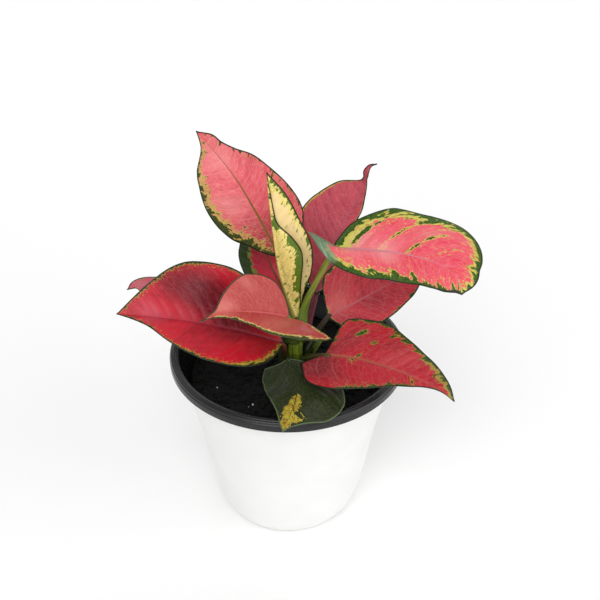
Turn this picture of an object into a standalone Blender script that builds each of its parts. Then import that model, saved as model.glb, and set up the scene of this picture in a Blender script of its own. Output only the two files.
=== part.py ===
"""Chinese evergreen (a red and green Aglaonema) growing in a two-layer nursery pot.

The frame is in metres with +Z up. The origin is the middle of the pot's foot, on the surface that it
stands on, and -Y is the front of the plant. The pot is an outer shell and an inner pot whose rim rolls
over it. Potting mix fills the inner pot, a short cane stands in a socket in the mix, and each leaf is
one piece: a stalk that starts at the cane and a blade that the stalk carries.
"""
import math

import bmesh
import bpy
import numpy as np
from mathutils import Vector

MM = 0.001

# Pot, in millimetres
RIM_RADIUS = 75.0
RIM_TOP = 126.0
LIP_BOTTOM = 119.4
LIP_WIDTH = 5.6
SHOULDER_RADIUS = 69.0
SHOULDER_HEIGHT = 119.0
BELLY_RADIUS = 59.0
BELLY_HEIGHT = 73.0
BELLY_PULL = (53.5, 47.5)
FOOT_PULL = (51.0, 0.0)
FOOT_RADIUS = 37.0
OUTER_DROP = 2.4
STEP_DROP = 1.6
WALL = 0.9
GAP = 0.3
DRAIN_HOLES = 8
DRAIN_HOLE_RADIUS = 4.0
DRAIN_CIRCLE = 27.0
TURNS = 40
BELLY_STEPS = 7
ROLL_STEPS = 5
RIM_STEP = 0.4
CUT_CLEARANCE = 1.0
PEG_LENGTH = 12.0
PEG_SIDES = 12
SHARP_ANGLE = 35
MERGE_DISTANCE = 0.001

# Potting mix and cane, in millimetres
MIX_TOP = 104.0
MIX_MOUND = 1.0
MOUND_SHARE = 0.6
CANE_X = 5.0
CANE_BOTTOM = 86.0
CANE_TOP = 140.0
CANE_RADIUS = 6.0
CANE_TOP_RADIUS = 4.2
CANE_JOINTS = 6
CANE_WAIST = 0.4
CANE_BEVEL = 1.0
CANE_BEVEL_RISE = 3.0
CANE_TURNS = 16

# Leaves, in millimetres and degrees
BLADE_THICKNESS = 0.9
STALK_RADIUS = 1.9
STALK_FOOT_RADIUS = 2.6
STALK_TIP_RADIUS = 1.0
STALK_THINS = (0.0, 0.25, 0.7, 1.0)
STALK_LEAN = 0.8
STALK_RISE = 5.0
FURLED_RISE = 3.0
STALK_SINK = 0.35
STALK_KNOTS = 14
ROWS = 15
HALF_COLUMNS = 4
STATIONS = (0.0, 0.1, 0.25, 0.45, 0.65, 0.85, 1.0)
TIP_WIDTH = 0.35
FLAT_CURL = 0.001
LATE_SWEEP = 1.4
ROUTE_STEPS = 24

# Each leaf has its midrib's route from the stalk to the tip, the way its upper face looks, and two
# halves. A half has its widths at STATIONS along the midrib, or any other number of evenly spaced ones.
# fold is the angle that it rises from the midrib, curl is how much that angle grows towards the margin,
# and sweep moves the margin towards the tip (or back towards the stalk where it is negative), the sooner
# the smaller early is. stalk is the bearing on the cane, the height there and any points that the stalk
# passes on its way to the blade.
LEAVES = {
    "leaf_tall_left": {
        "rib": [(-5, 22, 178), (-16, 26, 201), (-30, 24, 231), (-43, 20, 253), (-51, 14, 267)],
        "face": (0.1, -0.9, 0.5),
        "left": {"width": (0, 6.5, 11.5, 16, 22.5, 26, 27.5, 27.5, 26, 23, 17.5, 6, 0),
                 "fold": (10, 20), "curl": (15, 15), "sweep": (0, -6, 0, 0, 0)},
        "right": {"width": (0, 18, 25, 27, 26.5, 25, 22.5, 19.5, 16, 10.5, 7, 5.5, 0),
                  "fold": (0, 5), "curl": (10, 10)},
        "stalk": (135, 136, [(0, 14, 152)]),
    },
    "leaf_furled_centre": {
        "rib": [(6, -2, 151), (-3, 0, 181), (-7, 2, 208), (-11, 4, 246)],
        "face": (0.35, -0.85, 0.35),
        "left": {"width": (2, 5.5, 8.5, 12, 15, 17.5, 17.5, 12, 3.5, 2, 2, 1.5, 0),
                 "fold": (100, 95, 90, 88, 88, 75, 60),
                 "curl": (80, 85, 90, 90, 80, 30, 0)},
        "right": {"width": (3, 7, 17, 21, 16, 9, 0), "fold": (10, 0), "curl": (10, 10)},
        "stalk": (None, CANE_TOP + 2 * GAP, []),
    },
    "leaf_arching_right": {
        "rib": [(28, -2, 199), (46, -8, 202), (68, -16, 204), (88, -26, 203), (97, -35, 198),
                (99, -41, 192)],
        "face": (0.0, -0.35, 0.95),
        "left": {"width": (4, 15, 21, 26, 29.5, 30, 30.5, 32, 33, 32.5, 26.5, 14.5, 0),
                 "fold": (30, 15, 0), "curl": (-10, -30)},
        "right": {"width": (15.5, 20.5, 21, 20, 19.5, 19, 19, 18.5, 17.5, 16, 11.5, 4, 0),
                  "fold": (100, 50, 10, 0, 0, 0, 0), "curl": (-20, -20),
                  "sweep": (-13, -9, -6, -2, -1, 0, 0, 0, 1, 3, 6, 5, 0)},
        "stalk": (-60, 136, [(9.5, -5, 152), (14, -3, 168)]),
    },
    "leaf_back_hooked": {
        "rib": [(18, 40, 138), (29, 44, 175), (40, 49, 197), (48, 51, 213), (49, 49, 220),
                (49, 47, 225), (51, 46, 229.5), (55, 45, 231.3)],
        "face": (-0.3, -0.9, 0.4),
        "left": {"width": (0, 9, 15, 21, 25.5, 28, 27.5, 25, 20.5, 14.5, 3, 2, 0),
                 "fold": (10, 10), "curl": (10, 10)},
        "right": {"width": (0, 6, 8.5, 10, 10, 9.5, 9, 9, 8.5, 5, 1.2, 2.2, 0),
                  "fold": (20, 20), "curl": (20, 20)},
        "stalk": (55, 114, [(12, 18, 121)]),
    },
    "leaf_back_centre": {
        "rib": [(1, 25, 144), (-10, 38, 159), (-17, 52, 173), (-25, 60, 191)],
        "face": (0.2, -0.8, 0.6),
        "left": {"width": (0, 9, 18, 20, 18, 10, 0), "fold": (10, 10), "curl": (10, 10)},
        "right": {"width": (0, 7, 14, 16, 13, 7, 0), "fold": (10, 10), "curl": (10, 10)},
        "stalk": (95, 123, []),
    },
    "leaf_low_left": {
        "rib": [(-2, -14, 138), (-28, -22, 153), (-57, -26, 163), (-80, -28, 168),
                (-100, -28, 170)],
        "face": (0.0, -0.1, 1.0),
        "left": {"width": (0, 15, 27, 29, 22, 6, 0), "fold": (0, 0), "curl": (-10, -10)},
        "right": {"width": (0, 14.5, 24, 29.5, 34, 36.5, 37, 36.5, 34.5, 29, 20.5, 10.5, 0),
                  "fold": (40, 45), "curl": (10, 10)},
        "stalk": (215, 118, []),
    },
    "leaf_folded_front": {
        "rib": [(2, -16, 159), (-10, -22, 166), (-23, -30, 173), (-36, -38, 178), (-49, -44, 176)],
        "face": (0.0, -0.2, 1.0),
        "left": {"width": (18, 21, 24.5, 28, 30, 30, 27.5, 23, 16.5, 9, 4, 1, 0),
                 "fold": (15, 20), "curl": (-10, -10),
                 "sweep": (-22, -20, -10, 0, 0, 0, 0), "early": 0.45},
        "right": {"width": (0, 9, 15, 19.5, 21.5, 22.5, 22.5, 22, 18.5, 12, 3.5, 1.5, 0),
                  "fold": (50, 60), "curl": (10, 0)},
        "stalk": (250, 134, []),
    },
    "leaf_low_right": {
        "rib": [(23, -28, 140), (43, -36, 143), (66, -48, 143), (88, -57, 137), (98, -60, 130)],
        "face": (0.0, -0.3, 0.95),
        "left": {"width": (3, 22, 26.5, 27, 27.5, 26, 22.5, 19.5, 16.5, 14, 10.5, 6, 0),
                 "fold": (10, 10), "curl": (0, 0),
                 "sweep": (0, -4, 0, 0, 0)},
        "right": {"width": (9, 19, 24, 25.5, 23.5, 20, 15.5, 11, 7.5, 4, 1.5, 0.5, 0),
                  "fold": (0, 0), "curl": (0, 0),
                  "sweep": (-14, -15, -8, -2, 0, 0, 0), "early": 0.8},
        "stalk": (310, 116, []),
    },
    "leaf_right": {
        "rib": [(25, 4, 145), (45, 14, 151), (68, 24, 159), (88, 30, 167)],
        "face": (0.0, -0.6, 0.8),
        "left": {"width": (0, 19, 27, 26, 20, 10, 0), "fold": (10, 10), "curl": (0, 0)},
        "right": {"width": (0, 16, 20, 20, 17, 11, 0), "fold": (10, 0), "curl": (0, 0)},
        "stalk": (5, 122, []),
    },
    "leaf_front_drooping": {
        "rib": [(1, -24, 134), (6, -38, 131), (5, -60, 131), (-2, -84, 128)],
        "face": (0.0, -0.1, 0.95),
        "left": {"width": (0, 13, 19, 24, 27, 28.5, 29, 28, 26, 21, 12.5, 4, 0),
                 "fold": (-15, -8, 5), "curl": (0, 0)},
        "right": {"width": (18, 21.5, 22.5, 23, 21.5, 19.5, 17, 15, 12.5, 9.5, 6.5, 3.5, 0),
                  "fold": (-30, -15, 0),
                  "curl": (-20, -10, 0), "sweep": (-6, -4, 0, 0, 0)},
        "stalk": (262, 112, []),
    },
    "leaf_back_left": {
        "rib": [(-3, 14, 137), (-37, 22, 143), (-73, 26, 150), (-95, 26, 156), (-103, 22, 154)],
        "face": (0.0, 0.0, 1.0),
        "left": {"width": (0, 8, 16, 21, 20, 12, 0), "fold": (0, 0), "curl": (-10, -10)},
        "right": {"width": (0, 5, 12, 16, 16, 9, 0), "fold": (0, 0), "curl": (10, 10)},
        "stalk": (165, 113, []),
    },
}
LEAF_COLOURS = {
    "leaf_tall_left": (0.72, 0.18, 0.24),
    "leaf_furled_centre": (0.78, 0.60, 0.30),
    "leaf_arching_right": (0.85, 0.18, 0.27),
    "leaf_back_hooked": (0.48, 0.08, 0.13),
    "leaf_back_centre": (0.30, 0.05, 0.07),
    "leaf_low_left": (0.50, 0.02, 0.05),
    "leaf_folded_front": (0.62, 0.14, 0.13),
    "leaf_low_right": (0.52, 0.04, 0.06),
    "leaf_right": (0.52, 0.08, 0.11),
    "leaf_front_drooping": (0.05, 0.07, 0.04),
    "leaf_back_left": (0.60, 0.15, 0.20),
}


def clear_scene():
    for thing in list(bpy.data.objects):
        bpy.data.objects.remove(thing, do_unlink=True)


def material(name, colour, roughness):
    finish = bpy.data.materials.new(name)
    finish.use_nodes = True
    shader = finish.node_tree.nodes["Principled BSDF"]
    shader.inputs["Base Color"].default_value = (*colour, 1.0)
    shader.inputs["Roughness"].default_value = roughness
    shader.inputs["Metallic"].default_value = 0.0
    finish.diffuse_color = (*colour, 1.0)
    return finish


def add_object(name, mesh, finish=None):
    thing = bpy.data.objects.new(name, mesh)
    bpy.context.scene.collection.objects.link(thing)
    if finish:
        mesh.materials.append(finish)
    return thing


def as_tool(thing):
    """Marks a cutter or a guide, which is not a piece of the plant or the pot."""
    thing.hide_render = True
    thing.display_type = "WIRE"
    return thing


def boolean(thing, tool, operation, solver="EXACT"):
    cut = thing.modifiers.new(tool.name, "BOOLEAN")
    cut.object = tool
    cut.operation = operation
    cut.solver = solver


# Turned pieces

def turned(name, outline, turns, finish=None):
    """One closed body of revolution about Z from a closed outline of (radius, height) in mm."""
    shape = bmesh.new()
    corners = [shape.verts.new((radius * MM, 0.0, height * MM)) for radius, height in outline]
    edges = []
    for start, end in zip(corners, corners[1:] + corners[:1]):
        on_axis = start.co.x == 0.0 and end.co.x == 0.0
        if not on_axis:
            edges.append(shape.edges.new((start, end)))
    bmesh.ops.spin(shape, geom=corners + edges, cent=(0, 0, 0), axis=(0, 0, 1),
                   angle=2 * math.pi, steps=turns, use_merge=True, use_duplicate=False)
    bmesh.ops.remove_doubles(shape, verts=shape.verts, dist=MERGE_DISTANCE * MM)
    bmesh.ops.recalc_face_normals(shape, faces=shape.faces)
    mesh = bpy.data.meshes.new(name)
    shape.to_mesh(mesh)
    shape.free()
    mesh.shade_smooth()
    mesh.set_sharp_from_angle(angle=math.radians(SHARP_ANGLE))
    return add_object(name, mesh, finish)


def bezier(start, lead, follow, end, count):
    """count points on a curve from start to end, without start itself."""
    points = []
    for step in range(1, count + 1):
        t = step / count
        weights = ((1 - t) ** 3, 3 * t * (1 - t) ** 2, 3 * t * t * (1 - t), t ** 3)
        points.append(tuple(sum(weight * corner[axis] for weight, corner
                                in zip(weights, (start, lead, follow, end)))
                            for axis in (0, 1)))
    return points


def body_line(inset):
    """The pot's outer profile from the middle of the foot to the shoulder, moved inwards by inset."""
    belly = (BELLY_RADIUS, BELLY_HEIGHT)
    foot = (FOOT_RADIUS, 0.0)
    curve = bezier(foot, FOOT_PULL, BELLY_PULL, belly, BELLY_STEPS)
    line = [(0.0, 0.0), foot, *curve, (SHOULDER_RADIUS, SHOULDER_HEIGHT)]
    return offset(line, inset)


def offset(line, distance):
    """Moves a profile that runs outwards and up to its left, towards the inside of the pot."""
    moved = []
    last = len(line) - 1
    for index, (radius, height) in enumerate(line):
        before = line[max(index - 1, 0)]
        after = line[min(index + 1, last)]
        run = Vector((after[0] - before[0], after[1] - before[1])).normalized()
        moved.append((max(radius - run.y * distance, 0.0), height + run.x * distance))
    return moved


def trimmed(line, top):
    """The profile up to the height top, where its last point lies."""
    kept = [point for point in line if point[1] < top - CUT_CLEARANCE]
    below = kept[-1]
    above = next(point for point in line if point[1] >= top - CUT_CLEARANCE)
    share = (top - below[1]) / (above[1] - below[1])
    return kept + [(below[0] + (above[0] - below[0]) * share, top)]


def pot_outer(finish):
    top = SHOULDER_HEIGHT - OUTER_DROP
    outside = trimmed(body_line(0.0), top)
    inside = trimmed(body_line(WALL), top)
    pot = turned("pot_outer", outside + inside[::-1], TURNS, finish)
    boolean(pot, drain_cutter("outer_drain_cutter"), "DIFFERENCE")
    return pot


def rim_line():
    """The inner pot's wall above the body: a small step out, up, and over into the rolled lip."""
    neck = RIM_RADIUS - LIP_WIDTH
    roll = (RIM_RADIUS - WALL / 2 - neck) / 2
    centre = (neck + roll, RIM_TOP - WALL / 2 - roll)
    arc = []
    for step in range(ROLL_STEPS + 1):
        angle = math.pi * (1 - step / ROLL_STEPS)
        arc.append((centre[0] + roll * math.cos(angle), centre[1] + roll * math.sin(angle)))
    return [(neck - RIM_STEP, LIP_BOTTOM + RIM_STEP), *arc, (RIM_RADIUS - WALL / 2, LIP_BOTTOM)]


def pot_inner(finish):
    step_height = SHOULDER_HEIGHT - STEP_DROP
    outside = trimmed(body_line(WALL + GAP), step_height)
    inside = trimmed(body_line(2 * WALL + GAP), step_height)
    rim = rim_line()
    rim_inside = offset(rim, WALL / 2)
    rim_outside = offset(rim, -WALL / 2)
    outline = outside + rim_outside + rim_inside[::-1] + inside[::-1]
    pot = turned("pot_inner", outline, TURNS, finish)
    boolean(pot, drain_cutter("inner_drain_cutter"), "DIFFERENCE")
    return pot


def drain_cutter(name):
    """A ring of upright pegs, one for each drain hole in the floor."""
    shape = bmesh.new()
    for hole in range(DRAIN_HOLES):
        angle = 2 * math.pi * (hole + 0.5) / DRAIN_HOLES
        peg = bmesh.ops.create_cone(shape, cap_ends=True, segments=PEG_SIDES,
                                    radius1=DRAIN_HOLE_RADIUS * MM, radius2=DRAIN_HOLE_RADIUS * MM,
                                    depth=PEG_LENGTH * MM)
        place = Vector((DRAIN_CIRCLE * math.cos(angle), DRAIN_CIRCLE * math.sin(angle), 0.0)) * MM
        bmesh.ops.translate(shape, verts=peg["verts"], vec=place)
    mesh = bpy.data.meshes.new(name)
    shape.to_mesh(mesh)
    shape.free()
    return as_tool(add_object(name, mesh))


def potting_mix(finish):
    inner_face = 2 * WALL + 2 * GAP
    wall = trimmed(body_line(inner_face), MIX_TOP)
    edge = wall[-1][0]
    top = [(edge * MOUND_SHARE, MIX_TOP + MIX_MOUND), (0.0, MIX_TOP + MIX_MOUND)]
    mix = turned("potting_mix", wall + top, TURNS, finish)
    socket = turned("cane_socket_cutter", [
        (0.0, CANE_BOTTOM - GAP),
        (CANE_RADIUS + GAP, CANE_BOTTOM - GAP),
        (CANE_RADIUS + GAP, RIM_TOP),
        (0.0, RIM_TOP),
    ], CANE_TURNS)
    socket.location.x = CANE_X * MM
    boolean(mix, as_tool(socket), "DIFFERENCE")
    return mix


def cane_radius(height):
    share = (height - MIX_TOP) / (CANE_TOP - MIX_TOP)
    share = min(max(share, 0.0), 1.0)
    return CANE_RADIUS + (CANE_TOP_RADIUS - CANE_RADIUS) * share


def cane(finish):
    """The short upright stem, slightly waisted between the scars where old leaves fell."""
    outline = [(0.0, CANE_BOTTOM), (CANE_RADIUS - CANE_BEVEL, CANE_BOTTOM),
               (CANE_RADIUS, CANE_BOTTOM + CANE_BEVEL_RISE)]
    pitch = (CANE_TOP - MIX_TOP) / CANE_JOINTS
    for joint in range(CANE_JOINTS):
        base = MIX_TOP + joint * pitch
        outline.append((cane_radius(base), base))
        outline.append((cane_radius(base + pitch / 2) - CANE_WAIST, base + pitch / 2))
    outline += [(CANE_TOP_RADIUS, CANE_TOP), (0.0, CANE_TOP)]
    stem = turned("cane", outline, CANE_TURNS, finish)
    stem.location.x = CANE_X * MM
    return stem


# Leaves

def unit(vectors):
    return vectors / np.linalg.norm(vectors, axis=-1, keepdims=True)


def smooth_route(points, count):
    """count evenly spaced points on a smooth curve through the given ones."""
    route = np.array(points, float)
    route = np.vstack([2 * route[0] - route[1], route, 2 * route[-1] - route[-2]])
    fine = []
    for a, b, c, d in zip(route, route[1:], route[2:], route[3:]):
        for t in np.linspace(0, 1, ROUTE_STEPS, endpoint=False):
            fine.append(0.5 * (2 * b + (c - a) * t + (2 * a - 5 * b + 4 * c - d) * t ** 2
                               + (3 * b - a - 3 * c + d) * t ** 3))
    fine = np.array(fine + [route[-2]])
    lengths = np.linalg.norm(np.diff(fine, axis=0), axis=1)
    travelled = np.concatenate([[0], np.cumsum(lengths)])
    wanted = np.linspace(0, travelled[-1], count)
    return np.stack([np.interp(wanted, travelled, fine[:, axis]) for axis in range(3)], 1)


def along(values, shares):
    """A smooth value at each share of the midrib from a few evenly spaced or station values."""
    values = np.array(values, float)
    places = np.array(STATIONS) if len(values) == len(STATIONS) else np.linspace(0, 1, len(values))
    slopes = np.gradient(values, places)
    left = np.clip(np.searchsorted(places, shares, side="right") - 1, 0, len(places) - 2)
    span = places[left + 1] - places[left]
    t = (shares - places[left]) / span
    return ((2 * t ** 3 - 3 * t ** 2 + 1) * values[left]
            + (t ** 3 - 2 * t ** 2 + t) * span * slopes[left]
            + (3 * t ** 2 - 2 * t ** 3) * values[left + 1]
            + (t ** 3 - t ** 2) * span * slopes[left + 1])


def half_blade(rib, forward, out, up, half):
    """Rows of points from the midrib to one margin."""
    shares = np.linspace(0, 1, len(rib))
    across = np.linspace(0, 1, HALF_COLUMNS)
    width = np.maximum(along(half["width"], shares), TIP_WIDTH)
    fold = np.radians(along(half["fold"], shares))
    curl = np.radians(along(half["curl"], shares))
    curl = np.where(np.abs(curl) < FLAT_CURL, FLAT_CURL, curl)
    angle = fold[:, None] + curl[:, None] * across
    reach = (np.sin(angle) - np.sin(fold)[:, None]) / curl[:, None]
    rise = (np.cos(fold)[:, None] - np.cos(angle)) / curl[:, None]
    sweep = along(half.get("sweep", (0, 0)), shares)[:, None] * across ** half.get("early", LATE_SWEEP)
    points = rib[:, None, :] + width[:, None, None] * (reach[..., None] * out[:, None, :]
                                                       + rise[..., None] * up[:, None, :])
    return points + sweep[..., None] * forward[:, None, :]


def blade_grid(leaf):
    """The blade's middle surface as rows from stalk to tip, each from the left to the right margin."""
    rib = smooth_route(leaf["rib"], ROWS)
    forward = unit(np.gradient(rib, axis=0))
    face = np.array(leaf["face"], float)
    up = unit(face - (forward @ face)[:, None] * forward)
    right = np.cross(forward, up)
    left_half = half_blade(rib, forward, -right, up, leaf["left"])
    right_half = half_blade(rib, forward, right, up, leaf["right"])
    return np.concatenate([left_half[:, ::-1], right_half[:, 1:]], axis=1), rib, up


def stalk_route(leaf, rib, up):
    """From just off the cane, up to the blade and a little way along the back of its midrib."""
    bearing, height, passing = leaf["stalk"]
    if bearing is None:
        start = np.array([CANE_X, 0.0, height])
        first = start + np.array([0.0, 0.0, FURLED_RISE])
    else:
        turn = math.radians(bearing)
        outwards = np.array([math.cos(turn), math.sin(turn), 0.0])
        clear = cane_radius(height) + GAP + STALK_FOOT_RADIUS
        start = np.array([CANE_X, 0.0, height]) + outwards * clear
        first = start + outwards * STALK_LEAN + np.array([0.0, 0.0, STALK_RISE])
    back = rib[:3] - STALK_SINK * up[:3]
    return [start, first, *passing, *back]


def stalk_tool(name, leaf, rib, up):
    points = smooth_route(stalk_route(leaf, rib, up), STALK_KNOTS)
    curve = bpy.data.curves.new(name + "_curve", "CURVE")
    curve.dimensions = "3D"
    curve.bevel_depth = MM  # so that a knot's radius counts in millimetres
    curve.bevel_resolution = 2
    curve.use_fill_caps = True
    spline = curve.splines.new("POLY")
    spline.points.add(len(points) - 1)
    radii = np.interp(np.linspace(0, 1, len(points)), STALK_THINS,
                      (STALK_FOOT_RADIUS, STALK_RADIUS, STALK_RADIUS, STALK_TIP_RADIUS))
    for knot, place, radius in zip(spline.points, points, radii):
        knot.co = (*(place * MM), 1.0)
        knot.radius = radius
    guide = add_object(name + "_guide", curve)
    bpy.context.view_layer.update()
    mesh = bpy.data.meshes.new_from_object(guide.evaluated_get(bpy.context.evaluated_depsgraph_get()))
    bpy.data.objects.remove(guide)
    shape = bmesh.new()
    shape.from_mesh(mesh)
    bmesh.ops.remove_doubles(shape, verts=shape.verts, dist=MERGE_DISTANCE * MM)
    bmesh.ops.recalc_face_normals(shape, faces=shape.faces)
    shape.to_mesh(mesh)
    shape.free()
    return as_tool(add_object(name + "_stalk", mesh))


def leaf_piece(name, leaf, finish):
    grid, rib, up = blade_grid(leaf)
    rows, columns = grid.shape[:2]
    corners = [tuple(point * MM) for point in grid.reshape(-1, 3)]
    faces = []
    for row in range(rows - 1):
        for column in range(columns - 1):
            start = row * columns + column
            faces.append((start, start + 1, start + columns + 1, start + columns))
    mesh = bpy.data.meshes.new(name)
    mesh.from_pydata(corners, [], faces)
    mesh.shade_smooth()
    blade = add_object(name, mesh, finish)
    body = blade.modifiers.new("thickness", "SOLIDIFY")
    body.thickness = BLADE_THICKNESS * MM
    body.offset = 0.0
    boolean(blade, stalk_tool(name, leaf, rib, up), "UNION", "MANIFOLD")
    return blade


def main():
    clear_scene()
    pot_outer(material("white_polypropylene", (0.86, 0.86, 0.85), 0.35))
    pot_inner(material("black_polypropylene", (0.045, 0.045, 0.05), 0.45))
    potting_mix(material("peat_mix", (0.02, 0.016, 0.013), 0.95))
    cane(material("green_cane", (0.10, 0.16, 0.03), 0.5))
    for name, leaf in LEAVES.items():
        leaf_piece(name, leaf, material(name + "_flesh", LEAF_COLOURS[name], 0.35))


main()
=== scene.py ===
"""The looks of a potted Chinese evergreen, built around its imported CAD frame.

Every leaf repeats its CAD shape from the same few routes and widths, on a much finer grid: a blade with
a keeled midrib, quilted between its side veins, and a stalk that widens into a sheath at the cane. The
pots, the potting mix and the cane are remade finely in the space that their solids hold.
"""
import math

import bmesh
import bpy
import numpy as np
from mathutils import Matrix, Vector, noise


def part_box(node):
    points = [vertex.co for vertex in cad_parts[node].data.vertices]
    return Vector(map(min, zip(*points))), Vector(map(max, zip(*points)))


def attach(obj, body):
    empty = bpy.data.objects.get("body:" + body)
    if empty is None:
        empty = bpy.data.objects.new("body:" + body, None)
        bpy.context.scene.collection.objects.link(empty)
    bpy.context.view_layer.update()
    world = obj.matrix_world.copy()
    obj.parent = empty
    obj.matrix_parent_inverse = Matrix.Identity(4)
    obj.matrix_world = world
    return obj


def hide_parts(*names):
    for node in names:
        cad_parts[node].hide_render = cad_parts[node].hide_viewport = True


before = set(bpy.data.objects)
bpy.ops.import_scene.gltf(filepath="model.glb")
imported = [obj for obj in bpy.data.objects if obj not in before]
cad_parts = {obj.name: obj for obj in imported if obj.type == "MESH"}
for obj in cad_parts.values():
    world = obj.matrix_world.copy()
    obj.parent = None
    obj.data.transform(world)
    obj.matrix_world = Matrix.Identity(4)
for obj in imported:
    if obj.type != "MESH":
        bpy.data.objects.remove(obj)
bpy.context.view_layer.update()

MM = 0.001
SEED = 4

# Each leaf's pattern is cut this far from the last one's, so that no two are alike
PATTERN_STEP = 11.0

# Camera, in millimetres and degrees
CAMERA_TARGET = (7.75, 0.0, 160.9)
CAMERA_ELEVATION = 34.1
CAMERA_DISTANCE = 600.0
CAMERA_LENS = 58.41
SENSOR_WIDTH = 36.0

# Pot, in millimetres: the same driving dimensions as the CAD
RIM_RADIUS = 75.0
RIM_TOP = 126.0
LIP_BOTTOM = 119.4
LIP_WIDTH = 5.6
SHOULDER_RADIUS = 69.0
SHOULDER_HEIGHT = 119.0
BELLY_RADIUS = 59.0
BELLY_HEIGHT = 73.0
BELLY_PULL = (53.5, 47.5)
FOOT_PULL = (51.0, 0.0)
FOOT_RADIUS = 37.0
OUTER_DROP = 2.4
STEP_DROP = 1.6
WALL = 0.9
GAP = 0.3
DRAIN_HOLES = 8
DRAIN_HOLE_RADIUS = 4.0
DRAIN_CIRCLE = 27.0
DRAIN_PEG_LENGTH = 12.0
DRAIN_TURNS = 40
POT_TURNS = 180
BODY_POINTS = 28
SHARP_ANGLE = 40

# The rolled rim has fine grooves, whose depth is a share of the roll's radius
RIM_GROOVE = 0.06
RIM_WAVES = 8
RIM_CHAMFER = 0.4
ROLL_POINTS = 49

# Potting mix and cane, in millimetres
MIX_TOP = 104.0
MIX_CROWN = 0.6
MIX_SWELL_SIZE = 16.0
MIX_SWELL_HEIGHT = 1.1
MIX_CRUMB_SIZE = 3.2
MIX_CRUMB_HEIGHT = 0.7
MIX_TURNS = 120
MIX_RINGS = 46
PEAT_CRUMBS = 900
PEAT_CRUMB_SIZES = (0.8, 2.6)
PERLITE_GRAINS = 24
PERLITE_SIZES = (0.35, 0.7)

# How rough a grain is, how many lumps it has, and its stretch along X, Y and Z: at least, and up to
# how much more
GRAIN_ROUGHNESS = 0.45
GRAIN_LUMPS = 1.7
GRAIN_STRETCHES = ((0.7, 0.6), (0.7, 0.6), (0.55, 0.3))

CANE_X = 5.0
CANE_BOTTOM = 86.0
CANE_TOP = 140.0
CANE_RADIUS = 6.0
CANE_TOP_RADIUS = 4.2
CANE_JOINTS = 6
CANE_WAIST = 0.2
CANE_FOOT_CUT = (1.0, 3.0)
CANE_TURNS = 48
CANE_DRY_BELOW = 122.0
CANE_DRIEST = 108.0
SHEATH_HALF_WIDTH = 8.0
SHEATH_THICKNESS = 0.4
SHEATH_TIP = 0.3
SHEATH_DROOP = 1.5
SHEATH_GRID = (18, 13)
SHEATH_COLOURS = ("4A6222", "7E9638", "1C2A10")

# The old leaf sheaths round the cane: bearing in degrees, foot height, length and lean at the tip
SHEATHS = [(8, 108, 25, 14), (-30, 106, 19, 9), (42, 109, 24, 11), (-78, 106, 17, 4), (215, 108, 21, 6),
           (150, 108, 20, 6)]

# Leaves, in millimetres
STALK_RADIUS = 1.9
STALK_FOOT_RADIUS = 2.6
BLADE_THICKNESS = 0.5
ROWS = 130
HALF_COLUMNS = 34
STALK_ROWS = 70
STATIONS = (0.0, 0.1, 0.25, 0.45, 0.65, 0.85, 1.0)
COLUMN_SPREAD = 1.15
LEAST_WIDTH = 0.35
LOBE_WIDTH = 3.0
BLOTCH_RIM = 1.0

# Side veins lean and bend towards the tip. The blade is quilted between them and puckered in broad
# swells. Its midrib has a groove above and a keel below, and its margin is thinner.
VEIN_PITCH = 7.5
VEIN_LEAN = 0.55
VEIN_BEND = 0.012
QUILT_HEIGHT = 0.42
QUILT_MIDDLE = 0.6
QUILT_FROM_RIB = 3.0
QUILT_FROM_RIM = 4.0
PUCKER_SIZE = 14.0
PUCKER_FROM_RIB = 6.0
GROOVE_DEPTH = 0.35
GROOVE_HALF_WIDTH = 0.7
RIB_HALF_WIDTH = 1.1
RIB_TIP_HALF_WIDTH = 0.15
KEEL_DEPTH = 2.6
KEEL_TIP_DEPTH = 0.25
MARGIN_TAPER = 1.5
MARGIN_THINNEST = 0.35

# A stalk's foot spreads into a sheath over the first part of its length, bent round the cane. Its
# channel is a share of its radius deep, and a share of its half width wide.
STALK_CORNERS = 15
STALK_HEAD_RADIUS = 1.2
STALK_THINNEST = 0.25
STALK_DROP = 1.3
CHANNEL_DEPTH = 0.45
CHANNEL_WIDTH = 0.4
STALK_FOOT_SHARE = 0.5
STALK_FOOT_SPREAD = 1.2
STALK_FOOT_BEND = 5.5
STALK_FOOT_REACH = 0.8
STALK_FOOT_RISE = 5.0
NEWEST_RISE = 3.0

# Lights: strength, the angle that each spreads over in degrees, and the direction that it comes from
LAMPS = {"front_softbox": (1.55, 46, (-0.15, -0.68, 0.71)),
         "right_reflector": (1.0, 60, (0.8, -0.4, 0.3)),
         "back_softbox": (0.4, 60, (0.1, 0.7, 0.71))}
AIR_LIGHT = 0.5
FLOOR_HALF = 4000.0

# Each leaf has its midrib's route from the stalk to the tip, the way its upper face looks, and two
# halves. Seven values in a half are at STATIONS along the midrib, and any other count is evenly spaced.
# fold is the angle that the half rises from the midrib, curl is how much that angle grows towards the
# margin, and sweep moves the margin towards the tip; a low early brings sweep nearer to the midrib.
# green and cream are the widths of its coloured margins. stalk is the bearing on the cane, the height
# there and any points that the stalk passes, and stalk_hues are its foot, its head and its lines.
# margin says how far the coloured margins wander, comb along the side veins and crumble, and from 0 to 1
# how many islands of flesh they leave. freckled is how far freckles reach beyond them, in the colour
# called freckle. clouded and streaked are strengths, and puckered is the height of the blade's swells.
# A blotch is its share along the midrib, its share across (left is negative), its length along the side
# veins and its width. A tint is its share along, its share across, its reach and its strength: above 0
# it darkens the flesh, partly as its own darker tone and partly as painted shade where other leaves
# shade the blade, and below 0 it pales the flesh, partly as its own paler tone and partly as a painted
# sheen. A thin leaf shows its pattern through its lower side. turned_lobe is the length, as a share, and
# the width of the right half's lobe that is turned over. hues are in the order of LEAF_HUES. COMMON_LEAF
# and COMMON_HALF give what a leaf or a half doesn't say.
LEAF_HUES = ("flesh", "deep", "pale", "vein", "rib", "cream", "green", "olive", "dusk")
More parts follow.
